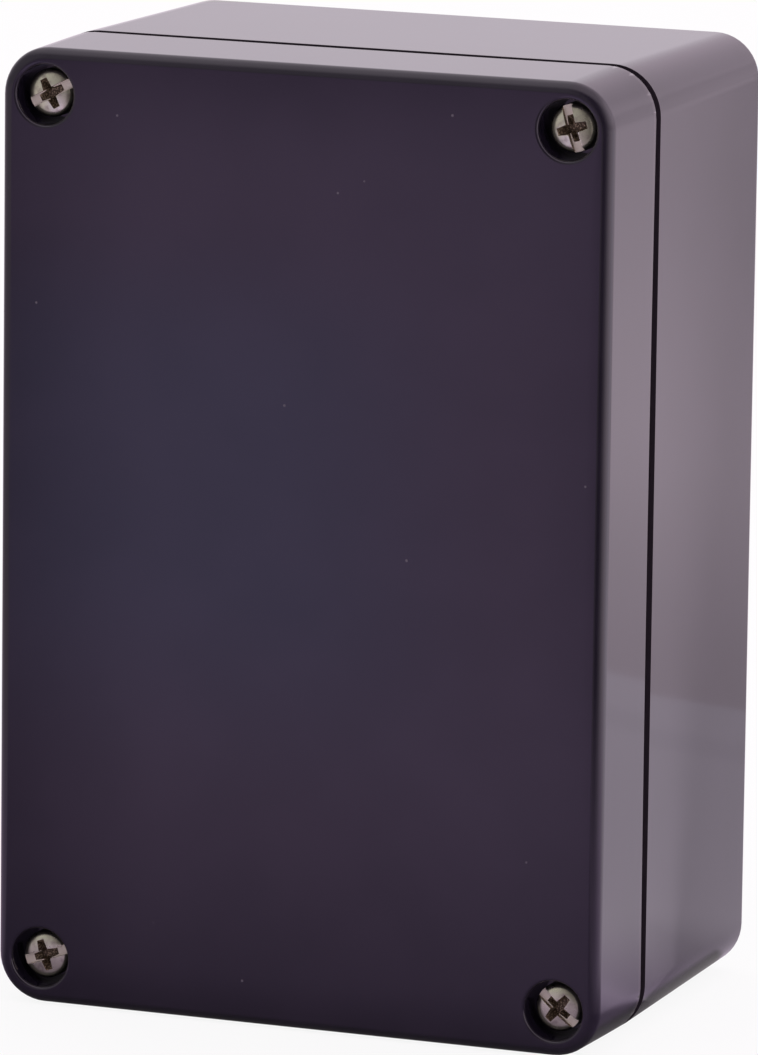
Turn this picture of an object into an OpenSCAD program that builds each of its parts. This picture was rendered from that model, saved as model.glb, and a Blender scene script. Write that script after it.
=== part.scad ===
// Sealed plastic project box: a deep base and a shallow lid joined by four captive screws.
// Every piece is drawn lid up, with its length along Y and the back face at z = 0,
// and stood on its short end at the bottom of the file.

/* [Outside] */
// Length of the box at its widest outline, the seam
box_l = 120; // [100:1:260]
// Width of the box at the seam
box_w = 80; // [64:1:200]
// Depth from the back face to the front face
box_d = 55; // [40:1:120]
// Depth of the lid, from the front face to the edge of its skirt
lid_d = 15.3; // [13:0.1:22]
// Open shadow line between the lid and the base
seam_gap = 1.25; // [0.4:0.05:2]
// Radius of the upright corners at the seam
corner_r = 6.25; // [5:0.05:9]
// Draft of the lid's sides, in degrees
lid_draft = 1; // [0.2:0.1:2]
// Draft of the base's sides, in degrees
base_draft = 0.8; // [0.2:0.1:1.5]
// Edge radius round the front face
front_fillet = 1.4; // [0.5:0.1:2]
// Edge radius round the back face
back_fillet = 1.6; // [0.5:0.1:2.4]

/* [Walls] */
// Thickness of the base's side walls at the seam
wall = 3; // [2.6:0.1:4]
// Thickness of the base's floor
floor_t = 3; // [2:0.1:5]
// Thickness of the lid's front plate
plate_t = 3; // [2:0.1:4]
// Radius of the upright inside corners
inside_r = 2; // [1.6:0.1:4]
// Radius of the edge where a corner block meets the inside
block_r = 4.5; // [3.8:0.1:6]

/* [Seal] */
// Thickness of the sealing rib on the base
rib_t = 1.2; // [0.8:0.1:1.6]
// Height of the sealing rib above the lid's skirt edge
rib_reach = 2.6; // [1.5:0.1:4]
// Space between the rib and each side of the lid's groove
rib_clear = 0.3; // [0.2:0.05:0.5]
// Thickness of the lip inside the groove
lip_t = 1.1; // [0.8:0.1:2]
// How far the lip reaches past the skirt edge, into the base
lip_reach = 1.6; // [0.5:0.1:3]
// Height of the pressed gasket
gasket_h = 1.8; // [1:0.1:3]
// Space between the gasket and each side of its groove
gasket_clear = 0.1; // [0.05:0.05:0.2]
// Space between the rib and the gasket
gasket_gap = 0.05; // [0.02:0.01:0.2]

/* [Lid screws] */
// Distance from the outside faces to each screw axis
screw_inset = 6; // [5.5:0.1:8]
// Diameter of the screw thread
screw_thread_d = 3; // [2.5:0.1:4]
// How far the screw reaches past its insert
screw_past = 0.65; // [0.3:0.05:2]
// Diameter of the screw head
head_d = 6; // [5:0.1:6.6]
// Height of the screw head
head_h = 2.45; // [1.8:0.05:3]
// Height of the dome on the head
head_dome = 0.4; // [0.2:0.05:0.6]
// Radius of the rounded edge of the head
head_edge = 0.8; // [0.4:0.05:1]
// How far the top of the head lies below the front face
head_sink = 1.5; // [0.5:0.1:2]
// Space round the head in its well
head_clear = 0.75; // [0.4:0.05:1]
// Radius of the rounded mouth of each well
well_edge = 0.4; // [0.2:0.05:0.6]
// Space round the thread in the lid
shank_clear = 0.3; // [0.2:0.05:0.5]
// Space round the thread in the inserts and the retainers
thread_clear = 0.05; // [0.03:0.01:0.1]
// Width of the driver slot
slot_w = 1.25; // [0.8:0.05:1.4]
// Depth of the driver slot
slot_depth = 0.75; // [0.5:0.05:1.2]
// Width across the cross recess
cross_w = 4.2; // [3:0.1:4.4]
// Width of each arm of the cross recess
cross_arm = 1; // [0.7:0.05:1.2]
// Depth of the cross recess
cross_depth = 2; // [1.5:0.05:2.1]

/* [Inserts and retainers] */
// Outside diameter of the brass inserts
insert_d = 4.6; // [4.2:0.1:5.6]
// Length of the brass inserts
insert_l = 8; // [6:0.5:10]
// Radial play left between an insert and its pocket
insert_fit = 0.02; // [0.01:0.01:0.05]
// Width of the groove between an insert's two knurled bands
insert_groove = 1.2; // [0.6:0.1:2]
// Depth of that groove
insert_groove_depth = 0.3; // [0.2:0.05:0.5]
// Width of the ring of base plastic that the lid seats on, round each insert
collar_t = 1.9; // [1.6:0.1:2.2]
// Outside diameter of the retainers
retainer_d = 6; // [5:0.1:6.6]
// Thickness of the retainers
retainer_t = 1; // [0.6:0.1:1.4]
// Space round a retainer in its recess
retainer_clear = 0.2; // [0.1:0.05:0.3]
// Space between a retainer and the base below it
retainer_gap = 0.1; // [0.05:0.05:0.3]

/* [Wall fixing] */
// Distance from the outside end faces to the wall screws
wall_fix_inset = 7; // [6.5:0.1:9]
// Distance from a lid screw inwards to the wall screw beside it
wall_fix_step = 9; // [8.6:0.1:12]
// Diameter of the wall screw holes
wall_fix_hole = 4.4; // [3.4:0.1:5]
// Width of the channels that lead to them
wall_fix_channel = 8.2; // [7:0.1:9]
// Radius of the channel corners
channel_corner_r = 1.5; // [0.8:0.1:2.5]
// Wall left between a channel and the inside
channel_wall = 1.6; // [1.3:0.1:3]
// Wall left between a lid pocket and the groove beside it
pocket_wall = 1.4; // [1:0.1:2]
// Wall left between a lid pocket and the screw well
pocket_well_wall = 1.4; // [1:0.1:2]
// Thickness of the lid's skirt outside its pockets
pocket_skirt = 2.4; // [1.6:0.1:3]
// Radius of the pocket corners
pocket_r = 1.2; // [0.6:0.1:1.6]

/* [Boards and cards] */
// Distance from the inside of the long walls to the board bosses
boss_side = 7; // [6:0.5:16]
// Distance from the inside of the end walls to the board bosses
boss_end = 19; // [16:0.5:30]
// Diameter of the board bosses
boss_d = 6.5; // [5:0.1:9]
// Pilot hole in the board bosses
boss_pilot = 2.6; // [2:0.1:3.2]
// Height of the bosses on the base's floor
base_boss_h = 6; // [3:0.5:12]
// Height of the bosses under the lid
lid_boss_h = 4; // [2:0.5:6]
// Thickness of board that a card guide takes
card_t = 1.6; // [1:0.1:2.4]
// Space round a card in its guide
card_clear = 0.2; // [0.1:0.05:0.4]
// Thickness of each guide rail
rail_t = 1.4; // [1:0.1:2]
// How far the rails stand out from the wall
rail_reach = 1.4; // [0.8:0.1:2]
// Distance from one card guide to the next
rail_pitch = 26; // [14:1:34]
// Distance from the top of the rails up to the rim
rail_drop = 6; // [3:0.5:20]

/* [Hidden] */
$fn = 96;
// Overlap that keeps cuts clear of the faces they start from
eps = 0.01;

plastic = [0.13, 0.12, 0.15];
seal_rubber = [0.2, 0.2, 0.2];
steel = [0.72, 0.71, 0.68];
brass = [0.78, 0.62, 0.3];
nylon = [0.86, 0.85, 0.8];

// The four corners as seen from the front: top left, top right, bottom right, bottom left
CORNERS = [[-1, 1], [1, 1], [1, -1], [-1, -1]];
// Turn of each screw's slot, counted from the width towards the top
SLOT_TURNS = [28, 107, -40, 19];

// Levels
skirt_z = box_d - lid_d;
rim_z = skirt_z - seam_gap;
rib_top_z = skirt_z + rib_reach;
gasket_z = rib_top_z + gasket_gap;
groove_top_z = gasket_z + gasket_h;
lip_z = skirt_z - lip_reach;
plate_z = box_d - plate_t;
head_top_z = box_d - head_sink;
seat_z = head_top_z - head_h;
insert_z = skirt_z - insert_l;
screw_tip_z = insert_z - screw_past;
rail_top_z = rim_z - rail_drop;
retainer_z = skirt_z + retainer_gap;

// Hole centres, counted across the width and along the length
screw_w = box_w - 2 * screw_inset;
screw_l = box_l - 2 * screw_inset;
wall_fix_w = screw_w - 2 * wall_fix_step;
wall_fix_l = box_l - 2 * wall_fix_inset;

// Inside outline: a cross that leaves a block at each corner for the screw and the channel
cavity_w = box_w - 2 * wall;
cavity_l = box_l - 2 * wall;
waist_w = wall_fix_w - wall_fix_channel - 2 * channel_wall;
waist_l = wall_fix_l - wall_fix_channel - 2 * channel_wall;
boss_w = cavity_w - 2 * boss_side;
boss_l = cavity_l - 2 * boss_end;

// Offsets from the inside outline, outwards
groove_out = rib_t + rib_clear;
lip_out = -rib_clear;
lip_in = lip_out - lip_t;
gasket_out = groove_out - gasket_clear;
gasket_in = lip_out + gasket_clear;

// Radii round the screws
thread_r = screw_thread_d / 2;
threaded_bore_r = thread_r + thread_clear;
shank_bore_r = thread_r + shank_clear;
head_r = head_d / 2;
well_r = head_r + head_clear;
insert_r = insert_d / 2;
collar_r = insert_r + collar_t;
retainer_r = retainer_d / 2;
// Chamfer on the screw tip and the ends of the inserts
end_chamfer = 0.4;
// Room under the screw tip at the bottom of its pocket
tip_room = 1.5;

// ---------------------------------------------------------------- shared shapes

// Repeats its children at the corners of a rectangle of centres
module at_pattern(w, l) {
    for (corner = CORNERS)
        translate([corner[0] * w / 2, corner[1] * l / 2, 0])
            children();
}

// Puts its children at one of the four screws
module at_screw(i) {
    translate([CORNERS[i][0] * screw_w / 2, CORNERS[i][1] * screw_l / 2, 0])
        children();
}

// Rectangle with round corners
module rounded_plan(w, l, r) {
    square([w - 2 * r, l], center = true);
    square([w, l - 2 * r], center = true);
    at_pattern(w - 2 * r, l - 2 * r) circle(r);
}

// The inside outline, moved outwards by grow, or inwards where grow is negative
module cavity_plan(grow) {
    convex_r = inside_r + grow;
    concave_r = block_r - grow;
    rounded_plan(cavity_w + 2 * grow, waist_l + 2 * grow, max(convex_r, 0.4));
    rounded_plan(waist_w + 2 * grow, cavity_l + 2 * grow, max(convex_r, 0.4));
    for (sx = [-1, 1], sy = [-1, 1])
        translate([sx * (waist_w / 2 + grow), sy * (waist_l / 2 + grow)])
            difference() {
                translate([sx * (concave_r / 2 - eps), sy * (concave_r / 2 - eps)])
                    square(concave_r + 2 * eps, center = true);
                translate([sx * concave_r, sy * concave_r]) circle(concave_r);
            }
}

// Band that follows the inside outline between two offsets
module cavity_band(from_grow, to_grow, z0, z1) {
    translate([0, 0, z0])
        linear_extrude(z1 - z0)
            difference() {
                cavity_plan(to_grow);
                cavity_plan(from_grow);
            }
}

// Half section of a drafted side, from a corner axis outwards, with its face at the bottom
module side_profile(height, draft, fillet) {
    face_u = corner_r - height * tan(draft);
    arc_u = face_u - fillet * (1 - sin(draft)) / cos(draft);
    polygon([
        [0, 0],
        [arc_u, 0],
        [arc_u + fillet * cos(draft), fillet * (1 - sin(draft))],
        [corner_r, height],
        [0, height]
    ]);
    translate([arc_u, fillet]) circle(fillet);
}

// Solid block with drafted sides, round corners and a filleted face at the bottom
module moulded_block(height, draft, fillet) {
    core_w = box_w - 2 * corner_r;
    core_l = box_l - 2 * corner_r;
    translate([-core_w / 2, -core_l / 2, 0]) cube([core_w, core_l, height]);
    for (turn = [0, 180]) {
        rotate(turn)
            translate([core_w / 2, 0, 0])
                rotate([90, 0, 0])
                    linear_extrude(core_l, center = true)
                        side_profile(height, draft, fillet);
        rotate(turn + 90)
            translate([core_l / 2, 0, 0])
                rotate([90, 0, 0])
                    linear_extrude(core_w, center = true)
                        side_profile(height, draft, fillet);
    }
    for (i = [0:3])
        translate([CORNERS[i][0] * core_w / 2, CORNERS[i][1] * core_l / 2, 0])
            rotate(90 - 90 * i + 0)
                rotate_extrude(angle = 90)
                    side_profile(height, draft, fillet);
}

// ---------------------------------------------------------------- base

// Hollow of the base with the channels that lead to the wall screws
module base_hollow() {
    translate([0, 0, floor_t]) {
        linear_extrude(rim_z) cavity_plan(0);
        at_pattern(wall_fix_w, wall_fix_l)
            linear_extrude(rim_z)
                rounded_plan(wall_fix_channel, wall_fix_channel, channel_corner_r);
    }
}

// Low rim that closes the shadow line round the corner blocks, and a collar at each screw
module lid_seats() {
    rim_inset = wall - rib_t;
    translate([0, 0, rim_z - eps]) {
        linear_extrude(seam_gap + eps)
            difference() {
                rounded_plan(box_w - 2 * rim_inset, box_l - 2 * rim_inset, corner_r - rim_inset);
                rounded_plan(cavity_w, cavity_l, max(corner_r - wall, 0.5));
            }
        at_pattern(screw_w, screw_l) cylinder(h = seam_gap + eps, r = collar_r);
    }
}

// Bosses that carry a board on the base's floor
module base_bosses() {
    translate([0, 0, floor_t - eps])
        at_pattern(boss_w, boss_l)
            cylinder(h = base_boss_h + eps, d = boss_d);
}

// Pairs of rails on the long walls that hold cards on edge
module card_rails() {
    slot = card_t + 2 * card_clear;
    count = max(1, floor((waist_l - 2 * block_r) / rail_pitch));
    for (i = [0 : count - 1], side = [-1, 1], edge = [-1, 1])
        translate([
            side * (cavity_w - rail_reach) / 2,
            (i - (count - 1) / 2) * rail_pitch + edge * (slot + rail_t) / 2,
            (floor_t + rail_top_z) / 2
        ])
            cube([rail_reach + 2 * eps, rail_t, rail_top_z - floor_t + 2 * eps], center = true);
}

// Pocket for a threaded insert, with a drilling below it for the screw tip
module insert_pocket() {
    translate([0, 0, insert_z]) cylinder(h = insert_l + eps, r = insert_r + insert_fit);
    translate([0, 0, screw_tip_z - tip_room])
        cylinder(h = insert_z - screw_tip_z + tip_room + eps, r = shank_bore_r);
}

module base() {
    color(plastic)
        difference() {
            union() {
                difference() {
                    moulded_block(rim_z, base_draft, back_fillet);
                    base_hollow();
                }
                cavity_band(0, rib_t, rim_z - eps, rib_top_z);
                lid_seats();
                base_bosses();
                card_rails();
            }
            at_pattern(screw_w, screw_l) insert_pocket();
            at_pattern(wall_fix_w, wall_fix_l)
                translate([0, 0, -eps])
                    cylinder(h = floor_t + 2 * eps, d = wall_fix_hole);
            at_pattern(boss_w, boss_l)
                translate([0, 0, floor_t])
                    cylinder(h = base_boss_h + eps, d = boss_pilot);
        }
}

// ---------------------------------------------------------------- lid

// Well for a screw head, the hole under it and the recess that holds the retainer
module screw_well() {
    translate([0, 0, seat_z]) cylinder(h = box_d - seat_z + eps, r = well_r);
    translate([0, 0, box_d - well_edge])
        rotate_extrude()
            difference() {
                square([well_r + well_edge, well_edge + eps]);
                translate([well_r + well_edge, 0]) circle(well_edge);
            }
    translate([0, 0, skirt_z - eps]) {
        cylinder(h = seat_z - skirt_z + 2 * eps, r = shank_bore_r);
        cylinder(h = retainer_gap + retainer_t + eps, r = retainer_r + retainer_clear);
    }
}

// Pockets that thin the lid's solid corners, over the wall screw channels
module lid_pockets() {
    x_out = screw_w / 2 - well_r - pocket_well_wall;
    x_in = waist_w / 2 + groove_out + pocket_wall;
    y_out = box_l / 2 - pocket_skirt;
    y_in = waist_l / 2 + groove_out + pocket_wall;
    translate([0, 0, skirt_z - eps])
        at_pattern(x_out + x_in, y_out + y_in)
            linear_extrude(plate_z - skirt_z + eps)
                rounded_plan(x_out - x_in, y_out - y_in, pocket_r);
}

// Bosses under the front plate
module lid_bosses() {
    translate([0, 0, plate_z - lid_boss_h])
        at_pattern(boss_w, boss_l)
            cylinder(h = lid_boss_h + eps, d = boss_d);
}

module lid() {
    color(plastic)
        difference() {
            union() {
                difference() {
                    translate([0, 0, box_d])
                        mirror([0, 0, 1])
                            moulded_block(lid_d, lid_draft, front_fillet);
                    translate([0, 0, skirt_z - eps])
                        linear_extrude(plate_z - skirt_z + eps) cavity_plan(lip_in);
                }
                cavity_band(lip_in, lip_out, lip_z, skirt_z + eps);
                lid_bosses();
            }
            cavity_band(lip_out, groove_out, skirt_z - eps, groove_top_z);
            at_pattern(screw_w, screw_l) screw_well();
            lid_pockets();
            translate([0, 0, plate_z - lid_boss_h - eps])
                at_pattern(boss_w, boss_l)
                    cylinder(h = lid_boss_h + eps, d = boss_pilot);
        }
}

module gasket() {
    color(seal_rubber) cavity_band(gasket_in, gasket_out, gasket_z, groove_top_z);
}

// ---------------------------------------------------------------- screws, inserts, retainers

// Slot and cross recess, with the top of the head at z = 0 and the slot along X
module driver_recess() {
    translate([-head_d, -slot_w / 2, -slot_depth]) cube([2 * head_d, slot_w, head_h]);
    translate([0, 0, -cross_depth])
        intersection() {
            cylinder(h = cross_depth + eps, r1 = cross_w / 2 - cross_depth / 2, r2 = cross_w / 2);
            union() {
                translate([0, 0, cross_depth / 2]) {
                    cube([cross_w, cross_arm, cross_depth + 4 * eps], center = true);
                    cube([cross_arm, cross_w, cross_depth + 4 * eps], center = true);
                }
            }
        }
}

// Pan head with a slightly domed top and a rounded edge, its seat at z = 0
module screw_head() {
    dome_r = (head_r * head_r + head_dome * head_dome) / (2 * head_dome);
    top_r = head_r - head_edge;
    edge_z = head_h - dome_r + sqrt(dome_r * dome_r - top_r * top_r) - head_edge;
    difference() {
        intersection() {
            union() {
                cylinder(h = edge_z, r = head_r);
                cylinder(h = head_h, r = top_r);
                translate([0, 0, edge_z])
                    rotate_extrude()
                        translate([top_r, 0]) circle(head_edge);
            }
            translate([0, 0, head_h - dome_r]) sphere(dome_r);
        }
        translate([0, 0, head_h]) driver_recess();
    }
}

module lid_screw(i) {
    shank_l = seat_z - screw_tip_z;
    color(steel)
        at_screw(i)
            rotate(SLOT_TURNS[i]) {
                translate([0, 0, seat_z]) screw_head();
                translate([0, 0, screw_tip_z + end_chamfer])
                    cylinder(h = shank_l - end_chamfer + eps, r = thread_r);
                translate([0, 0, screw_tip_z])
                    cylinder(h = end_chamfer, r1 = thread_r - end_chamfer, r2 = thread_r);
            }
}

module insert(i) {
    groove_z = (insert_l - insert_groove) / 2;
    groove_r = insert_r - insert_groove_depth;
    lead_r = insert_r - end_chamfer;
    color(brass)
        at_screw(i)
            translate([0, 0, insert_z])
                rotate_extrude()
                    polygon([
                        [threaded_bore_r, 0],
                        [lead_r, 0],
                        [insert_r, end_chamfer],
                        [insert_r, groove_z],
                        [groove_r, groove_z],
                        [groove_r, groove_z + insert_groove],
                        [insert_r, groove_z + insert_groove],
                        [insert_r, insert_l],
                        [threaded_bore_r, insert_l]
                    ]);
}

module retainer(i) {
    color(nylon)
        at_screw(i)
            translate([0, 0, retainer_z])
                difference() {
                    cylinder(h = retainer_t, r = retainer_r);
                    translate([0, 0, -eps]) cylinder(h = retainer_t + 2 * eps, r = threaded_bore_r);
                }
}

// ---------------------------------------------------------------- assembly

// Stands a piece on its short end, with the front face towards -Y
module upright() {
    translate([0, box_d / 2, box_l / 2])
        rotate([90, 0, 0])
            children();
}

upright() base();
upright() lid();
upright() gasket();
upright() lid_screw(0);  // lid_screw_top_left
upright() lid_screw(1);  // lid_screw_top_right
upright() lid_screw(2);  // lid_screw_bottom_right
upright() lid_screw(3);  // lid_screw_bottom_left
upright() insert(0);  // insert_top_left
upright() insert(1);  // insert_top_right
upright() insert(2);  // insert_bottom_right
upright() insert(3);  // insert_bottom_left
upright() retainer(0);  // retainer_top_left
upright() retainer(1);  // retainer_top_right
upright() retainer(2);  // retainer_bottom_right
upright() retainer(3);  // retainer_bottom_left
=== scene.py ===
"""Dresses the plastic project box: near-black mouldings, steel lid screws, brass inserts and the seal."""

import logging
import math
from dataclasses import dataclass
from enum import Enum
from typing import Any, ClassVar, Sequence

import bmesh
import bpy
from mathutils import Matrix, Vector


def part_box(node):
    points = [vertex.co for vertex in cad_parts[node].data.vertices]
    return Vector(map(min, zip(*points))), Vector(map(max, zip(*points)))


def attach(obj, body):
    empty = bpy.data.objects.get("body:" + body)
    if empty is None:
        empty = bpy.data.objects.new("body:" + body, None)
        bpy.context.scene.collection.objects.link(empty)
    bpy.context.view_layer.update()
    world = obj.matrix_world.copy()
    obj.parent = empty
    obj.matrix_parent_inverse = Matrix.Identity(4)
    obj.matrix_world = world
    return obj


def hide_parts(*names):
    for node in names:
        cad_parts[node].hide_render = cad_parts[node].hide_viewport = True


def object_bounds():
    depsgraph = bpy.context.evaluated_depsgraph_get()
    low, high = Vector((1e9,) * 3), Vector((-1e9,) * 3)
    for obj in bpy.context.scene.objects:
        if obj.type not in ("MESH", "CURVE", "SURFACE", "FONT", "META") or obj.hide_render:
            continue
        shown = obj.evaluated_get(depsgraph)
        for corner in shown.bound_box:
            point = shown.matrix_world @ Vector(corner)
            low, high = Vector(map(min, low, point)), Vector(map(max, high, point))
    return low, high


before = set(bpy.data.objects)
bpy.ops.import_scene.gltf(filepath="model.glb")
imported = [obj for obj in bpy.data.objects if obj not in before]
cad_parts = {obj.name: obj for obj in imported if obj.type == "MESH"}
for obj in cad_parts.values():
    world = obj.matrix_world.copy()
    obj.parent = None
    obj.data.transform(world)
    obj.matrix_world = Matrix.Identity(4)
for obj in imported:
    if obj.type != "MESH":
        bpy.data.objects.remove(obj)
cad_low, cad_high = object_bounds()

log = logging.getLogger("project_box")

MM = 0.001
WELD = 0.002 * MM  # points nearer to each other than this are one
FLAT = math.radians(0.05)  # faces that meet flatter than this are one
UPRIGHT = 0.9  # a normal whose Z is larger than this points up
AXIS = 1e-9  # a smaller radius than this is on the axis
SQUARE = 4  # sides of a thread ridge and of a knurl's rib
HELIX_STEPS = 28  # steps in one turn of a thread
RIB_SEGMENTS = 3  # steps along a knurl's rib
RIB_FULLNESS = 0.9  # width of a knurl's rib as a share of its pitch

Pair = tuple[float, float]
Triple = tuple[float, float, float]
Tint = Triple
Profile = Sequence[Pair]
Ring = tuple[Pair, ...]
Steps = tuple[Triple, ...]


class Corner(Enum):
    """The four corners as seen from the front, each with the turn of its screw's slot in degrees."""

    TOP_LEFT = ("top_left", 28.0)
    TOP_RIGHT = ("top_right", 107.0)
    BOTTOM_RIGHT = ("bottom_right", -40.0)
    BOTTOM_LEFT = ("bottom_left", 19.0)

    @property
    def label(self) -> str:
        """The corner's part of a node name."""
        return self.value[0]

    @property
    def slot_turn(self) -> float:
        """Turn of the screw's slot from the width towards the top, in radians."""
        return math.radians(self.value[1])


# ------------------------------------------------------------------ node graphs


class Socket:
    """A shader or geometry socket that can be used in Python expressions."""

    def __init__(self, graph: "Graph", out: bpy.types.NodeSocket) -> None:
        """Wraps an output socket.

        Args:
            graph: The graph that new Math nodes are added to.
            out: The output socket.
        """
        self.graph = graph
        self.out = out

    def _math(self, operation: str, *values: Any, clamp: bool = False) -> "Socket":
        """Adds one Math node.

        Args:
            operation: What the node does.
            *values: Its numbers or sockets.
            clamp: Whether the result is held between 0 and 1.

        Returns:
            The node's result.
        """
        return self.graph.add(
            self.graph.math_type, {"operation": operation, "use_clamp": clamp}, list(values)
        )

    def __add__(self, other: Any) -> "Socket":
        """Sum."""
        return self._math("ADD", self, other)

    def __radd__(self, other: Any) -> "Socket":
        """Sum, reflected."""
        return self._math("ADD", other, self)

    def __sub__(self, other: Any) -> "Socket":
        """Difference."""
        return self._math("SUBTRACT", self, other)

    def __rsub__(self, other: Any) -> "Socket":
        """Difference, reflected."""
        return self._math("SUBTRACT", other, self)

    def __mul__(self, other: Any) -> "Socket":
        """Product."""
        return self._math("MULTIPLY", self, other)

    def __rmul__(self, other: Any) -> "Socket":
        """Product, reflected."""
        return self._math("MULTIPLY", other, self)

    def __truediv__(self, other: Any) -> "Socket":
        """Quotient."""
        return self._math("DIVIDE", self, other)

    def __lt__(self, other: Any) -> "Socket":
        """1 where this is less than the other."""
        return self._math("LESS_THAN", self, other)

    def __gt__(self, other: Any) -> "Socket":
        """1 where this is greater than the other."""
        return self._math("GREATER_THAN", self, other)

    def clamped(self) -> "Socket":
        """This value held between 0 and 1."""
        return self._math("ADD", self, 0.0, clamp=True)

    def size(self) -> "Socket":
        """This value without its sign."""
        return self._math("ABSOLUTE", self)

    def root(self) -> "Socket":
        """Square root of this value."""
        return self._math("SQRT", self)

    def largest(self, other: Any) -> "Socket":
        """The larger of this and the other."""
        return self._math("MAXIMUM", self, other)

    def smooth(self, low: float, high: float) -> "Socket":
        """Smooth step over this value.

        Args:
            low: Where the step starts, at 0.
            high: Where it ends, at 1.

        Returns:
            The step's height.
        """
        return self.graph.add(
            "ShaderNodeMapRange",
            {"interpolation_type": "SMOOTHSTEP"},
            {"Value": self, "From Min": low, "From Max": high},
        )


class Graph:
    """A node tree that is built with one method."""

    math_type = "ShaderNodeMath"

    def __init__(self, tree: bpy.types.NodeTree) -> None:
        """Empties a tree and takes it over.

        Args:
            tree: The node tree to build in.
        """
        self.tree = tree
        tree.nodes.clear()

    def add(
        self,
        kind: str,
        settings: dict[str, Any] | None = None,
        values: dict[str, Any] | list[Any] | None = None,
        result: int | str = 0,
    ) -> Socket:
        """Adds a node.

        Args:
            kind: The node's type name.
            settings: Properties of the node, set before its sockets. A ramp takes "stops".
            values: Numbers, colours or sockets for its inputs, by name or in order.
            result: Name or index of the output that is returned.

        Returns:
            The chosen output, or the node's first one.
        """
        node = self.tree.nodes.new(kind)
        for key, value in (settings or {}).items():
            if key == "stops":
                ramp = node.color_ramp.elements
                while len(ramp) > len(value):
                    ramp.remove(ramp[-1])
                while len(ramp) < len(value):
                    ramp.new(1.0)
                for stop, (place, colour) in zip(ramp, value):
                    stop.position = place
                    stop.color = colour
            else:
                setattr(node, key, value)
        pairs = values.items() if isinstance(values, dict) else enumerate(values or [])
        for key, value in pairs:
            socket = node.inputs[key]
            if isinstance(value, Socket):
                self.tree.links.new(value.out, socket)
            else:
                socket.default_value = value
        if not node.outputs:
            return Socket(self, None)
        return Socket(self, node.outputs[result])

    def mix(self, factor: Any, first: Any, second: Any) -> Socket:
        """Mixes two colours.

        Args:
            factor: Share of the second colour.
            first: A linear colour, or a socket.
            second: A linear colour, or a socket.

        Returns:
            The mixed colour.
        """
        pair = [value if isinstance(value, Socket) else colour(*value) for value in (first, second)]
        return self.add("ShaderNodeMix", {"data_type": "RGBA"}, {"Factor": factor, 6: pair[0], 7: pair[1]}, 2)

    def place(self) -> Socket:
        """Place on the object, in metres."""
        return self.add("ShaderNodeTexCoord", {}, {}, "Object")

    def along(self, vector: Socket, axis: str) -> Socket:
        """One part of a vector, by the name of its axis."""
        return self.add("ShaderNodeSeparateXYZ", {}, {"Vector": vector}, axis)

    def noise(self, place: Socket, size: float, detail: float) -> Socket:
        """Cloudy noise with features of a size in metres."""
        return self.add("ShaderNodeTexNoise", {}, {"Vector": place, "Scale": 1 / size, "Detail": detail})

    def cells(self, place: Socket, size: float, result: str = "Distance") -> Socket:
        """Cells of a size in metres: the distance from their middles, or another result."""
        return self.add("ShaderNodeTexVoronoi", {}, {"Vector": place, "Scale": 1 / size}, result)

    def relief(self, strength: float, depth: float, height: Socket) -> Socket:
        """Normal of a surface with fine relief of a depth in metres."""
        return self.add("ShaderNodeBump", {}, {"Strength": strength, "Distance": depth, "Height": height})

    def marked(self, name: str) -> Socket:
        """Value that the mesh holds under a name."""
        return self.add("ShaderNodeAttribute", {"attribute_name": name}, {}, "Fac")

    def ray(self, kind: str) -> Socket:
        """1 for rays of one kind, such as "Is Camera Ray"."""
        return self.add("ShaderNodeLightPath", {}, {}, kind)


def colour(red: float, green: float, blue: float) -> tuple[float, float, float, float]:
    """A linear colour with full alpha."""
    return (red, green, blue, 1.0)


def node_material(name: str) -> tuple[bpy.types.Material, Graph]:
    """Makes an empty node material.

    Args:
        name: The material's name.

    Returns:
        The material and its graph.
    """
    material = bpy.data.materials.new(name)
    material.use_nodes = True
    return material, Graph(material.node_tree)


# ------------------------------------------------------------------ finishes


class Finish:
    """Base of the finishes: makes one material with its Principled shader.

    A run holds the values where a mix starts and ends, and a bump holds its strength and its depth.
    """

    name: str

    def material(self) -> bpy.types.Material:
        """Builds the material.

        Returns:
            The finished material.
        """
        material, g = node_material(self.name)
        bsdf = g.add("ShaderNodeBsdfPrincipled", {}, self.shader(g, g.place()))
        g.add("ShaderNodeOutputMaterial", {}, {"Surface": bsdf})
        return material

    def shader(self, g: Graph, place: Socket) -> dict[str, Any]:
        """Values for the Principled shader, which each finish works out."""
        raise NotImplementedError


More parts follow.
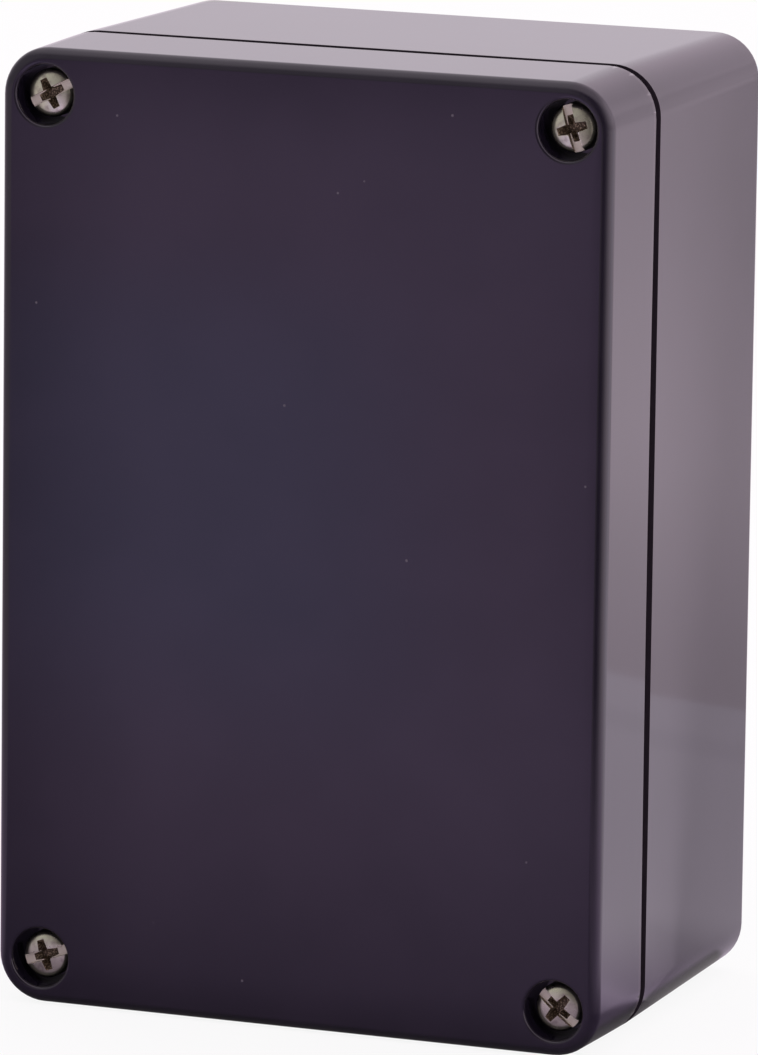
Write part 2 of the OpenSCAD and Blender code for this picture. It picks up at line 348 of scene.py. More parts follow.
@dataclass(frozen=True)
class CasePlastic(Finish):
    """Moulded near-black plastic: glossy, faintly violet and cloudy, with fine grain, dust and a lighter,
    browner band at the seam.
    """

    name: str = "case_plastic"
    dark: Tint = (0.0085, 0.0068, 0.0130)
    pale: Tint = (0.0115, 0.0090, 0.0165)
    cloud: float = 14 * MM
    cloud_run: Pair = (0.35, 0.65)
    grain: float = 0.16 * MM
    dust: Tint = (0.16, 0.15, 0.17)
    dust_cell: float = 5.5 * MM
    dust_reach: float = 0.03
    dust_least: float = 0.45
    dust_share: float = 0.6
    dust_roughness: float = 0.4
    fibre_cell: float = 9 * MM
    fibre_turn: Triple = (0.5, 0.4, 0.3)
    fibre_stretch: Triple = (1.0, 0.3, 0.14)
    fibre_reach: float = 0.011
    # lighter, browner colour of the band at the seam
    grime: Tint = (0.030, 0.024, 0.031)
    seam: Pair = (-12.25 * MM, 1.25 * MM)  # middle and half depth of the band at the seam that has a lighter, browner colour
    roughness: float = 0.05
    unevenness: float = 0.04
    cloud_relief: float = 0.4
    bump: Pair = (0.02, 0.02 * MM)
    ior: float = 1.5

    def shader(self, g: Graph, place: Socket) -> dict[str, Any]:
        """Works out the plastic's colour, roughness and relief.

        Args:
            g: The material's graph.
            place: Place on the piece, in metres.

        Returns:
            Values for the Principled shader, by socket name.
        """
        clouds = g.noise(place, self.cloud, 3.0)
        flow = g.noise(place, self.cloud / 4, 4.0)
        pick = g.cells(place, self.dust_cell, "Color")
        chance = g.add("ShaderNodeSeparateColor", {}, {"Color": pick}, "Red")
        grains = (g.cells(place, self.dust_cell) < self.dust_reach) * (chance > self.dust_least)
        leant = {"Vector": place, "Rotation": self.fibre_turn, "Scale": self.fibre_stretch}
        fibres = g.cells(g.add("ShaderNodeMapping", {}, leant), self.fibre_cell) < self.fibre_reach
        speck = (grains + fibres).clamped()
        tone = g.mix(clouds.smooth(*self.cloud_run), self.dark, self.pale)
        dusty = g.mix(speck * self.dust_share, tone, self.dust)
        middle, half = self.seam
        in_seam = (g.along(place, "Y") - middle).size() < half
        height = g.noise(place, self.grain, 2.0) + clouds * self.cloud_relief
        return {
            # the band at the seam gets a lighter, browner colour
            "Base Color": g.mix(in_seam, dusty, self.grime),
            "Roughness": self.roughness + (flow - 0.5) * self.unevenness + speck * self.dust_roughness,
            "Normal": g.relief(*self.bump, height),
            "IOR": self.ior,
        }


@dataclass(frozen=True)
class BrightSteel(Finish):
    """Plain steel of the screws with fine marks, a pale slot floor that is partly a painted highlight, and
    painted shade in the recess.
    """

    name: str = "screw_steel"
    clean: Tint = (0.67, 0.70, 0.50)
    dull: Tint = (0.45, 0.44, 0.33)
    # painted shade: dark brown colour of the cross recess
    film: Tint = (0.090, 0.063, 0.036)
    # painted highlights: lighter flecks in the cross recess
    fleck: Tint = (0.50, 0.41, 0.27)
    # pale colour of the slot floor: partly a bright milled floor, partly a painted highlight
    cut: Tint = (0.95, 0.91, 0.80)
    blotch: float = 0.8 * MM
    blotch_run: Pair = (0.45, 0.75)
    grit: float = 0.22 * MM
    # where the recess's painted shade turns into painted highlight flecks
    grit_run: Pair = (0.48, 0.64)
    marks: float = 0.07 * MM
    roughness: float = 0.3
    unevenness: float = 0.2
    # less metal in the recess darkens it, as part of its painted shade
    recess_metal_loss: float = 0.6
    recess_roughness: float = 0.2
    # less metal on the slot floor lets its pale colour show, as part of its painted highlight
    slot_metal_loss: float = 0.45
    slot_roughness: float = 0.5
    grit_relief: float = 3.0
    bump: Pair = (0.15, 0.01 * MM)
    recess: str = "recess"
    milled: str = "milled"

    def shader(self, g: Graph, place: Socket) -> dict[str, Any]:
        """Works out the steel's colour, metal, roughness and relief.

        Args:
            g: The material's graph.
            place: Place on the piece, in metres.

        Returns:
            Values for the Principled shader, by socket name.
        """
        blotch = g.noise(place, self.blotch, 4.0)
        grit = g.noise(place, self.grit, 3.0)
        inside = g.marked(self.recess)
        slot = g.marked(self.milled)
        tone = g.mix(blotch.smooth(*self.blotch_run), self.clean, self.dull)
        # painted shade in the recess, with lighter flecks as painted highlights
        shaded_recess = g.mix(grit.smooth(*self.grit_run), self.film, self.fleck)
        worn = self.roughness + (blotch - 0.5) * self.unevenness
        height = g.noise(place, self.marks, 3.0) + grit * inside * self.grit_relief
        return {
            # pale slot floor, partly a painted highlight, and the recess's painted shade
            "Base Color": g.mix(inside, g.mix(slot, tone, self.cut), shaded_recess),
            "Metallic": 1.0 - inside * self.recess_metal_loss - slot * self.slot_metal_loss,
            "Roughness": worn + inside * self.recess_roughness + slot * self.slot_roughness,
            "Normal": g.relief(*self.bump, height),
        }


@dataclass(frozen=True)
class TurnedBrass(Finish):
    """Machined brass with fine marks and a light patina."""

    name: str = "insert_brass"
    clean: Tint = (0.70, 0.50, 0.20)
    dull: Tint = (0.42, 0.28, 0.11)
    patina: float = 1.1 * MM
    patina_run: Pair = (0.4, 0.7)
    marks: float = 0.06 * MM
    roughness: float = 0.26
    unevenness: float = 0.2
    bump: Pair = (0.2, 0.01 * MM)

    def shader(self, g: Graph, place: Socket) -> dict[str, Any]:
        """Works out the brass's colour, roughness and relief.

        Args:
            g: The material's graph.
            place: Place on the piece, in metres.

        Returns:
            Values for the Principled shader, by socket name.
        """
        patina = g.noise(place, self.patina, 4.0)
        return {
            "Base Color": g.mix(patina.smooth(*self.patina_run), self.clean, self.dull),
            "Metallic": 1.0,
            "Roughness": self.roughness + (patina - 0.5) * self.unevenness,
            "Normal": g.relief(*self.bump, g.noise(place, self.marks, 2.0)),
        }


@dataclass(frozen=True)
class FoamRubber(Finish):
    """Matt black foamed rubber with fine pores."""

    name: str = "gasket_rubber"
    body: Tint = (0.022, 0.022, 0.024)
    pore: Tint = (0.008, 0.008, 0.009)
    pore_cell: float = 0.28 * MM
    pore_run: Pair = (0.1, 0.4)
    roughness: float = 0.92
    skin_gloss: float = 0.08
    bump: Pair = (0.5, 0.05 * MM)

    def shader(self, g: Graph, place: Socket) -> dict[str, Any]:
        """Works out the rubber's colour, roughness and relief.

        Args:
            g: The material's graph.
            place: Place on the piece, in metres.

        Returns:
            Values for the Principled shader, by socket name.
        """
        skin = g.cells(place, self.pore_cell).smooth(*self.pore_run)
        return {
            "Base Color": g.mix(skin, self.pore, self.body),
            "Roughness": self.roughness - skin * self.skin_gloss,
            "Normal": g.relief(*self.bump, skin),
        }


@dataclass(frozen=True)
class NaturalNylon(Finish):
    """Milky nylon of the retaining rings."""

    name: str = "retainer_nylon"
    body: Tint = (0.66, 0.64, 0.55)
    deeper: float = 0.8
    cloud: float = 0.9 * MM
    roughness: float = 0.42
    unevenness: float = 0.1
    bump: Pair = (0.1, 0.02 * MM)
    milkiness: float = 0.15
    milk_depth: float = 0.5 * MM

    def shader(self, g: Graph, place: Socket) -> dict[str, Any]:
        """Works out the nylon's colour, roughness and relief.

        Args:
            g: The material's graph.
            place: Place on the piece, in metres.

        Returns:
            Values for the Principled shader, by socket name.
        """
        cloud = g.noise(place, self.cloud, 3.0)
        return {
            "Base Color": g.mix(cloud, self.body, tuple(self.deeper * part for part in self.body)),
            "Roughness": self.roughness + (cloud - 0.5) * self.unevenness,
            "Normal": g.relief(*self.bump, cloud),
            "Subsurface Weight": self.milkiness,
            "Subsurface Scale": self.milk_depth,
        }


# ------------------------------------------------------------------ mesh helpers


def new_object(name: str, bm: bmesh.types.BMesh) -> bpy.types.Object:
    """Turns a bmesh into an object in the scene.

    Args:
        name: The object's name.
        bm: The mesh, which is freed.

    Returns:
        The new object.
    """
    mesh = bpy.data.meshes.new(name)
    bm.to_mesh(mesh)
    bm.free()
    obj = bpy.data.objects.new(name, mesh)
    bpy.context.scene.collection.objects.link(obj)
    return obj


def stitch(bm: bmesh.types.BMesh, rings: Sequence[Sequence[bmesh.types.BMVert]]) -> None:
    """Joins rings of points into a closed skin, with its faces outward.

    Args:
        bm: The mesh that holds the points.
        rings: Rings of as many points each, in order. The last one is joined to the first one.
    """
    for lower, upper in zip(rings, rings[1:] + rings[:1]):
        for i in range(len(lower)):
            j = (i + 1) % len(lower)
            corners = []
            for vert in (lower[i], lower[j], upper[j], upper[i]):
                if vert not in corners:
                    corners.append(vert)
            if len(corners) > 2:
                bm.faces.new(corners)
    bmesh.ops.recalc_face_normals(bm, faces=bm.faces)


def lathe(profile: Profile, steps: int) -> bmesh.types.BMesh:
    """Revolves a closed profile round Z.

    Args:
        profile: Points of radius and height in metres, anticlockwise, closed on itself.
        steps: Number of steps round the axis.

    Returns:
        A closed mesh.
    """
    bm = bmesh.new()
    rings = []
    for radius, height in profile:
        if radius < AXIS:
            rings.append([bm.verts.new((0, 0, height))] * steps)
            continue
        rings.append([
            bm.verts.new((radius * math.cos(a), radius * math.sin(a), height))
            for a in (2 * math.pi * i / steps for i in range(steps))
        ])
    stitch(bm, rings)
    return bm


def baked(obj: bpy.types.Object, name: str) -> bpy.types.Object:
    """Replaces an object by its evaluated mesh, with every modifier applied.

    Args:
        obj: The object with its modifiers, which is removed.
        name: The new object's name.

    Returns:
        A plain mesh object.
    """
    graph = bpy.context.evaluated_depsgraph_get()
    mesh = bpy.data.meshes.new_from_object(obj.evaluated_get(graph))
    bpy.data.objects.remove(obj)
    mesh.name = name
    out = bpy.data.objects.new(name, mesh)
    bpy.context.scene.collection.objects.link(out)
    return out


def join(name: str, parts: Sequence[bpy.types.Object]) -> bpy.types.Object:
    """Joins objects into one mesh.

    Args:
        name: The joined object's name.
        parts: Objects to join, which are removed.

    Returns:
        The joined object.
    """
    bm = bmesh.new()
    for part in parts:
        bm.from_mesh(part.data)
        bpy.data.objects.remove(part)
    return new_object(name, bm)


def joined(mesh: bpy.types.Mesh) -> bmesh.types.BMesh:
    """Welds a mesh's loose triangles and joins the ones that lie in one plane.

    Args:
        mesh: The mesh.

    Returns:
        The joined copy.
    """
    bm = bmesh.new()
    bm.from_mesh(mesh)
    bmesh.ops.remove_doubles(bm, verts=bm.verts, dist=WELD)
    bmesh.ops.dissolve_limit(bm, angle_limit=FLAT, verts=bm.verts, edges=bm.edges)
    return bm


def carve(obj: bpy.types.Object, tool: bpy.types.Object, crossing: bool = False) -> None:
    """Cuts a tool's shape out of an object, once the object is baked.

    Args:
        obj: The object.
        tool: The tool, which has to stay until then.
        crossing: Whether the tool's own parts run through each other.
    """
    cut = obj.modifiers.new(tool.name, "BOOLEAN")
    cut.operation = "DIFFERENCE"
    cut.solver = "EXACT"
    cut.use_self = crossing
    cut.object = tool


def soften(obj: bpy.types.Object, width: float, steps: int, angle: float) -> None:
    """Rounds an object's hard edges, once the object is baked.

    Args:
        obj: The object.
        width: Width of the rounding.
        steps: Number of steps across it.
        angle: Edges sharper than this many degrees are rounded.
    """
    bevel = obj.modifiers.new("edge", "BEVEL")
    bevel.width = width
    bevel.segments = steps
    bevel.limit_method = "ANGLE"
    bevel.angle_limit = math.radians(angle)


def shade(obj: bpy.types.Object, material: bpy.types.Material, angle: float) -> None:
    """Gives an object one material and smooth shading up to an angle, with its flat faces kept flat.

    Args:
        obj: The object.
        material: Its only material.
        angle: Edges sharper than this many degrees stay sharp.
    """
    obj.data.materials.clear()
    obj.data.materials.append(material)
    obj.data.polygons.foreach_set("material_index", [0] * len(obj.data.polygons))
    obj.data.shade_smooth()
    obj.data.set_sharp_from_angle(angle=math.radians(angle))
    normals = obj.modifiers.new("normals", "WEIGHTED_NORMAL")
    normals.mode = "FACE_AREA"
    normals.weight = 100
    normals.keep_sharp = True
    graph = bpy.context.evaluated_depsgraph_get()
    mesh = bpy.data.meshes.new_from_object(obj.evaluated_get(graph))
    obj.modifiers.clear()
    obj.data = mesh


class GeometryGraph(Graph):
    """A Geometry Nodes tree with named inputs, used once on a carrier object and baked."""

    def __init__(self, name: str) -> None:
        """Makes an empty tree with one geometry output.

        Args:
            name: The tree's name.
        """
        super().__init__(bpy.data.node_groups.new(name, "GeometryNodeTree"))
        self.sizes: dict[str, float] = {}
        self.tree.interface.new_socket("Geometry", in_out="OUTPUT", socket_type="NodeSocketGeometry")

    def size(self, name: str, value: float) -> Socket:
        """Adds a named input.

        Args:
            name: What the size is.
            value: Its value, in metres, radians or steps.

        Returns:
            The input as a socket.
        """
        kind = "NodeSocketInt" if isinstance(value, int) else "NodeSocketFloat"
        self.tree.interface.new_socket(name, in_out="INPUT", socket_type=kind)
        self.sizes[name] = value
        return self.add("NodeGroupInput", {}, {}, name)

    def vector(self, x: Any = 0.0, y: Any = 0.0, z: Any = 0.0) -> Socket:
        """Combines three values into a vector."""
        return self.add("ShaderNodeCombineXYZ", {}, {"X": x, "Y": y, "Z": z})

    def bake(self, name: str, shape: Socket, material: bpy.types.Material) -> bpy.types.Object:
        """Ends the tree, runs it once and keeps the mesh.

        Args:
            name: Name of the object that is made.
            shape: The geometry to keep.
            material: The material that the tree sets.

        Returns:
            A plain mesh object.
        """
        whole = self.add("GeometryNodeRealizeInstances", {}, {"Geometry": shape})
        done = self.add("GeometryNodeSetMaterial", {}, {"Geometry": whole, "Material": material})
        self.add("NodeGroupOutput", {}, {"Geometry": done})
        carrier = new_object(name + "_carrier", bmesh.new())
        modifier = carrier.modifiers.new(name, "NODES")
        modifier.node_group = self.tree
        for item in self.tree.interface.items_tree:
            if item.item_type == "SOCKET" and item.in_out == "INPUT":
                modifier[item.identifier] = self.sizes[item.name]
        return baked(carrier, name)


def helix_ridge(
    name: str, radius: float, half_width: float, pitch: float, length: float, material: bpy.types.Material
) -> bpy.types.Object:
    """A screw thread's ridge: a small diamond swept along a helix round Z, from z = 0 up.

    Args:
        name: The object's name.
        radius: Radius of the middle of the ridge.
        half_width: Half the diamond's size.
        pitch: Rise of one turn.
        length: Height of the threaded stretch.
        material: The ridge's material.

    Returns:
        The ridge as a plain mesh object.
    """
    g = GeometryGraph(name)
    turns = g.size("Turns", length / pitch)
    height = g.size("Length", length)
    middle = g.size("Radius", radius)
    half = g.size("Half width", half_width)
    spiral = g.add(
        "GeometryNodeCurveSpiral",
        {},
        {
            "Resolution": HELIX_STEPS,
            "Rotations": turns,
            "Start Radius": middle,
            "End Radius": middle,
            "Height": height,
        },
    )
    upright = g.add("GeometryNodeSetCurveNormal", {"mode": "Z_UP"}, {"Curve": spiral})
    diamond = g.add("GeometryNodeCurvePrimitiveCircle", {}, {"Resolution": SQUARE, "Radius": half})
    ridge = g.add(
        "GeometryNodeCurveToMesh", {}, {"Curve": upright, "Profile Curve": diamond, "Fill Caps": True}
    )
    return g.bake(name, ridge, material)


def knurl_band(
    name: str,
    radius: float,
    bottom: float,
    height: float,
    tilt: float,
    count: int,
    material: bpy.types.Material,
) -> bpy.types.Object:
    """Ribs of a knurled band round Z.

    Args:
        name: The object's name.
        radius: Radius of the band's surface, where the ribs are rooted.
        bottom: Lower end of the band.
        height: Height of the band.
        tilt: Lean of the ribs, in radians.
        count: Number of ribs.
        material: The ribs' material.

    Returns:
        The ribs as one plain mesh object.
    """
    g = GeometryGraph(name)
    around = g.size("Radius", radius)
    tall = g.size("Height", height)
    ribs = g.size("Ribs", count)
    lean = g.size("Tilt", tilt)
    ring = g.add("GeometryNodeMeshCircle", {}, {"Vertices": ribs, "Radius": around})
    rib = g.add(
        "GeometryNodeMeshCylinder",
        {},
        {
            "Vertices": SQUARE,
            "Side Segments": RIB_SEGMENTS,
            "Radius": around * (math.pi * RIB_FULLNESS / count),
            "Depth": tall,
        },
        "Mesh",
    )
    index = g.add("GeometryNodeInputIndex", {}, {})
    turn = index * (2 * math.pi / count)
    spin = g.add(
        "FunctionNodeRotateEuler",
        {"rotation_type": "EULER", "space": "OBJECT"},
        {"Rotation": g.vector(z=turn), "Rotate By": g.vector(x=lean)},
    )
    placed = g.add("GeometryNodeInstanceOnPoints", {}, {"Points": ring, "Instance": rib, "Rotation": spin})
    raised = g.add(
        "GeometryNodeTransform", {}, {"Geometry": placed, "Translation": (0, 0, bottom + height / 2)}
    )
    return g.bake(name, raised, material)


# ------------------------------------------------------------------ sub-assemblies


@dataclass
class Part:
    """Base of the pieces.

    Each one also names its node, its body and its slot, and its edges are smooth up to the angle sharp, in
    degrees.
    """

    material: bpy.types.Material

    def build(self) -> bpy.types.Object:
        """Makes the piece in its place, which each part does in its own way."""
        raise NotImplementedError

    def dress(self, obj: bpy.types.Object) -> None:
        """Finishes the piece and gives it to its body in its node's stead.

        Args:
            obj: The piece.
        """
        shade(obj, self.material, self.sharp)
        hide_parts(self.node)
        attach(obj, self.body)


@dataclass
class Moulding(Part):
    """The lid or the base: the frame's own solid with joined faces, a moved or stepped rim and soft edges."""

    node: str
    body: str
    slot: str = "case_plastic"
    rise: float = 0.0  # how far the rim is moved forward
    rebate: Pair = (0.0, 0.0)  # the rim's step: in from the outline, and along the depth
    corner: float = 6.25 * MM
    corner_steps: int = 64
    bow: float = 0.6 * MM  # at the corners
    bow_slack: float = 0.45  # share that is missing midway along the short ends
    bow_strips: int = 8  # strips that the faces are cut into, so that they can bend
    rim_reach: float = 0.192 * MM  # points nearer to the rim than this are bent
    edge: float = 0.16 * MM
    edge_steps: int = 2
    hard: float = 35.0
    sharp: float = 30.0

    def build(self) -> bpy.types.Object:
        """Copies the node, shifts or steps its rim and rounds its hard edges.

        Returns:
            The moulding as a plain mesh object.
        """
        bm = joined(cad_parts[self.node].data)
        seam = max(bm.verts, key=lambda vert: vert.co.x).co.y
        for vert in bm.verts:
            if abs(vert.co.y - seam) < WELD:
                vert.co.y -= self.rise
        obj = new_object(f"{self.node}_moulding_raw", bm)
        if any(self.rebate):
            obj = self.stepped(obj, seam)
        soften(obj, self.edge, self.edge_steps, self.hard)
        obj = baked(obj, f"{self.node}_moulding")
        if any(self.rebate):
            self.bend(obj.data, seam)
        return obj

    def stepped(self, obj: bpy.types.Object, seam: float) -> bpy.types.Object:
        """Steps the rim's outer edge back all the way round.

        Args:
            obj: The moulding, which is removed.
            seam: Where the rim lies along the depth.

        Returns:
            The stepped moulding.
        """
        tool = new_object(f"{self.node}_rebate_tool", self.band(seam))
        carve(obj, tool)
        cut = baked(obj, f"{self.node}_moulding_stepped")
        out = new_object(f"{self.node}_moulding_cut", joined(cut.data))
        for spent in (tool, cut):
            bpy.data.objects.remove(spent)
        return out

    def band(self, seam: float) -> bmesh.types.BMesh:
        """A ring that straddles the moulding's outline at the rim, from inside its wall to outside it.

        Args:
            seam: Where the rim lies along the depth.

        Returns:
            The closed ring.
        """
        bm = bmesh.new()
        depth, height = self.rebate
        front, back = seam - height, seam + height
        middle = (cad_low + cad_high) / 2
        loops = []
        for reach, y in ((-depth, front), (depth, front), (depth, back), (-depth, back)):
            radius = self.corner + reach
            loop = []
            for step in range(self.corner_steps):
                turn = math.tau * (step + 0.5) / self.corner_steps
                side_x, side_z = math.copysign(1, math.cos(turn)), math.copysign(1, math.sin(turn))
                x = middle.x + side_x * (cad_high.x - middle.x - self.corner) + radius * math.cos(turn)
                z = middle.z + side_z * (cad_high.z - middle.z - self.corner) + radius * math.sin(turn)
                loop.append(bm.verts.new((x, y, z)))
            loops.append(loop)
        stitch(bm, loops)
        return bm

    def bend(self, mesh: bpy.types.Mesh, seam: float) -> None:
        """Bows the stepped rim a little between the screws, as their pull at the corners does.

        Args:
            mesh: The moulding's mesh.
            seam: Where the rim lay along the depth before it was stepped.
        """
        bm = bmesh.new()
        bm.from_mesh(mesh)
        middle, half = (cad_low + cad_high) / 2, (cad_high - cad_low) / 2
        for strip in range(1, self.bow_strips):
            share = 2 * strip / self.bow_strips - 1
            for way in (Vector((1, 0, 0)), Vector((0, 0, 1))):
                geometry = [*bm.verts, *bm.edges, *bm.faces]
                point = middle + way * half.dot(way) * share
                bmesh.ops.bisect_plane(bm, geom=geometry, dist=WELD, plane_co=point, plane_no=way)
        depth, height = self.rebate
        wall = depth + 2 * self.corner * (1 - math.sqrt(0.5))
        for vert in bm.verts:
            across, along = abs(vert.co.x - middle.x) / half.x, abs(vert.co.z - middle.z) / half.z
            inset = min((1 - across) * half.x, (1 - along) * half.z)
            if abs(vert.co.y - (seam - height)) < self.rim_reach and inset < wall:
                vert.co.y += self.bow * along**2 * (1 - self.bow_slack * (1 - across**2))
        bm.to_mesh(mesh)
        bm.free()


@dataclass
class Seal(Part):
    """The gasket in the lid's groove, with rounded edges."""

    node: str = "gasket"
    body: str = "lid"
    slot: str = "gasket_rubber"
    edge: float = 0.45 * MM
    edge_steps: int = 4
    hard: float = 60.0
    sharp: float = 50.0

    def build(self) -> bpy.types.Object:
        """Copies the node and rounds its edges.

        Returns:
            The gasket as a plain mesh object.
        """
        obj = new_object("seal_raw", joined(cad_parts[self.node].data))
        soften(obj, self.edge, self.edge_steps, self.hard)
        return baked(obj, "seal")


@dataclass
class CornerPart(Part):
    """Base of the turned parts at the lid's corners, which are made upright and then laid along the depth."""

    corner: Corner
    kind: ClassVar[str] = ""

    @property
    def node(self) -> str:
        """The CAD node that this part stands for."""
        return f"{self.kind}_{self.corner.label}"

    @property
    def length(self) -> float:
        """Length of the node along its axis."""
        low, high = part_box(self.node)
        return high.y - low.y

    @property
    def radius(self) -> float:
        """Largest radius of the node."""
        low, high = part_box(self.node)
        return (high.x - low.x) / 2

    def laid(self, obj: bpy.types.Object, turn: float = 0.0) -> bpy.types.Object:
        """Moves the finished part to its corner, with Z turned out of the lid and Y up.

        Args:
            obj: The part, made along Z with its front end at z = 0.
            turn: Its turn round its axis, in radians.

        Returns:
            The same object.
        """
        low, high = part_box(self.node)
        place = Matrix.Translation(((low.x + high.x) / 2, low.y, (low.z + high.z) / 2))
        outward = Matrix.Rotation(math.radians(90), 4, "X")
        obj.data.transform(place @ outward @ Matrix.Rotation(turn, 4, "Z"))
        return obj


@dataclass
class LidScrew(CornerPart):
    """One captive screw: domed head with a slot and a cross recess, and a threaded shank."""

    kind: ClassVar[str] = "lid_screw"
    slot: str = "screw_steel"
    head_radius: float = 3.0 * MM
    head_height: float = 2.45 * MM
    chamfer: float = 0.12 * MM
    dome: float = 0.4 * MM
    dome_margin: float = 0.1 * MM
    dome_steps: int = 10
    shoulder: float = 0.9 * MM
    shoulder_turn: float = math.radians(60)
    shoulder_steps: int = 6
    slot_width: float = 1.25 * MM
    slot_depth: float = 0.75 * MM
    cross_width: float = 4.2 * MM
    cross_arm: float = 0.95 * MM
    cross_depth: float = 2.0 * MM
    cross_above: float = 0.3 * MM
    cross_flare: float = 0.08 * MM
    cross_core: float = -0.18 * MM
    cross_root: float = 1.6  # width of a wing at the axis, as a share of its width at the end
    bottom_width: float = 0.24  # reach of a wing at its bottom, as a share of the cross's width
    bottom_arm: float = 0.32  # half width of a wing at its bottom, as a share of its width at the top
    # how far below the top and below the dome the recess's painted shade starts
    film_below_top: float = 0.12 * MM
    film_below_dome: float = 0.07 * MM
    margin: float = 0.05 * MM
    edge: float = 0.05 * MM
    edge_steps: int = 2
    hard: float = 34.0
    core_radius: float = 1.22 * MM
    collar: float = 0.2 * MM
    neck: float = 1.2 * MM
    tip: float = 0.4 * MM
    thread_half: float = 0.28 * MM
    thread_gap: float = 0.6 * MM
    pitch: float = 0.5 * MM
    steps: int = 72
    shank_steps: int = 40
    sharp: float = 30.0

    @property
    def body(self) -> str:
        """The CAD body that this screw moves with."""
        return f"screw_{self.corner.label}"

    def crown(self, radius: float) -> float:
        """Height of the domed top, 0 in its middle.

        Args:
            radius: Distance from the axis.

        Returns:
            The height there, at most 0.
        """
        ball = (self.head_radius**2 + self.dome**2) / (2 * self.dome)
        return math.sqrt(ball**2 - radius**2) - ball

    def head_blank(self) -> bpy.types.Object:
        """The head before it is cut, with its top at z = 0.

        Returns:
            The blank.
        """
        seat = -self.head_height
        flat = self.head_radius - self.shoulder
        rim = self.crown(flat) - self.shoulder
        side = self.head_radius
        profile = [(0.0, seat), (side - self.chamfer, seat), (side, seat + self.chamfer)]
        for step in range(self.shoulder_steps + 1):
            angle = self.shoulder_turn * step / self.shoulder_steps
            profile.append((flat + self.shoulder * math.cos(angle), rim + self.shoulder * math.sin(angle)))
        for step in range(self.dome_steps + 1):
            radius = (flat + self.dome_margin) * (1 - step / self.dome_steps)
            profile.append((radius, self.crown(radius)))
        return new_object(f"{self.node}_head", lathe(profile, self.steps))

    def cutters(self) -> tuple[bpy.types.Object, bpy.types.Object]:
        """The tools that cut the slot and the cross recess.

        Returns:
            The slot's block and the cross's tapered wings.
        """
        slot = bmesh.new()
        bmesh.ops.create_cube(slot, size=1.0)
        slot.transform(Matrix.Diagonal((4 * self.head_radius, self.slot_width, 2 * self.slot_depth, 1)))
        cross = bmesh.new()
        for turn in range(4):
            self.add_wing(cross, math.radians(90 * turn))
        return new_object("slot_tool", slot), new_object("cross_tool", cross)

    def add_wing(self, bm: bmesh.types.BMesh, turn: float) -> None:
        """Adds one wing of the cross, which narrows towards its bottom.

        Args:
            bm: The mesh of the cross tool.
            turn: Direction of the wing.
        """
        spin = Matrix.Rotation(turn, 4, "Z")
        inner = self.cross_core
        rings = []
        for z, reach, half in (
            (self.cross_above, self.cross_width / 2 + self.cross_flare, self.cross_arm / 2),
            (-self.cross_depth, self.cross_width * self.bottom_width, self.cross_arm * self.bottom_arm),
        ):
            root = self.cross_root * half
            rings.append([
                bm.verts.new(spin @ Vector(point))
                for point in ((inner, -root, z), (reach, -half, z), (reach, half, z), (inner, root, z))
            ])
        top, bottom = rings
        bm.faces.new(top)
        bm.faces.new(bottom[::-1])
        for i in range(4):
            j = (i + 1) % 4
            bm.faces.new((top[j], top[i], bottom[i], bottom[j]))

    def head(self) -> bpy.types.Object:
        """The finished head with its cuts and softened edges.

        Returns:
            The head as a plain mesh object.
        """
        blank = self.head_blank()
        slot, cross = self.cutters()
        carve(blank, slot)
        carve(blank, cross, crossing=True)
        soften(blank, self.edge, self.edge_steps, self.hard)
        out = baked(blank, f"{self.node}_cut_head")
        for tool in (slot, cross):
            bpy.data.objects.remove(tool)
        return out

    def mark_recess(self, mesh: bpy.types.Mesh) -> None:
        """Writes which faces belong to the cross recess and to the slot, for the steel's painted shade and
        highlight.

        Args:
            mesh: The screw, with the top of its head at z = 0.
        """
        inside, floors = [], []
        for face in mesh.polygons:
            x, y, z = face.center
            radius = math.hypot(x, y)
            floor = face.normal.z > UPRIGHT and abs(z + self.slot_depth) < self.margin
            in_head = -self.head_height < z < -self.film_below_top
            deep = in_head and radius < self.cross_width / 2 + self.margin
            # faces that get the recess's painted shade
            inside.append(float(deep and z < self.crown(radius) - self.film_below_dome and not floor))
            floors.append(float(floor))
        mesh.attributes.new(BrightSteel.recess, "FLOAT", "FACE").data.foreach_set("value", inside)
        mesh.attributes.new(BrightSteel.milled, "FLOAT", "FACE").data.foreach_set("value", floors)

    def shank(self) -> bpy.types.Object:
        """The threaded shank, from its tip up into the head.

        Returns:
            The shank as a plain mesh object.
        """
        end = -self.length
        seat = -self.head_height
        core = self.core_radius
        profile = [
            (0.0, end),
            (core - self.tip, end),
            (core, end + self.tip),
            (core, seat - self.neck),
            (core + self.collar, seat - self.neck + self.collar),
            (core + self.collar, seat + self.margin),
            (0.0, seat + self.margin),
        ]
        rod = new_object(f"{self.node}_rod", lathe(profile, self.shank_steps))
        run = seat - self.neck - end - self.thread_gap
        ridge = helix_ridge(f"{self.node}_thread", core, self.thread_half, self.pitch, run, self.material)
        ridge.data.transform(Matrix.Translation((0, 0, end + self.tip)))
        return join(f"{self.node}_shank", [rod, ridge])

    def build(self) -> bpy.types.Object:
        """Makes the whole screw in its place.

        Returns:
            The screw as one plain mesh object.
        """
        screw = join(f"{self.node}_detailed", [self.head(), self.shank()])
        self.mark_recess(screw.data)
        return self.laid(screw, self.corner.slot_turn)


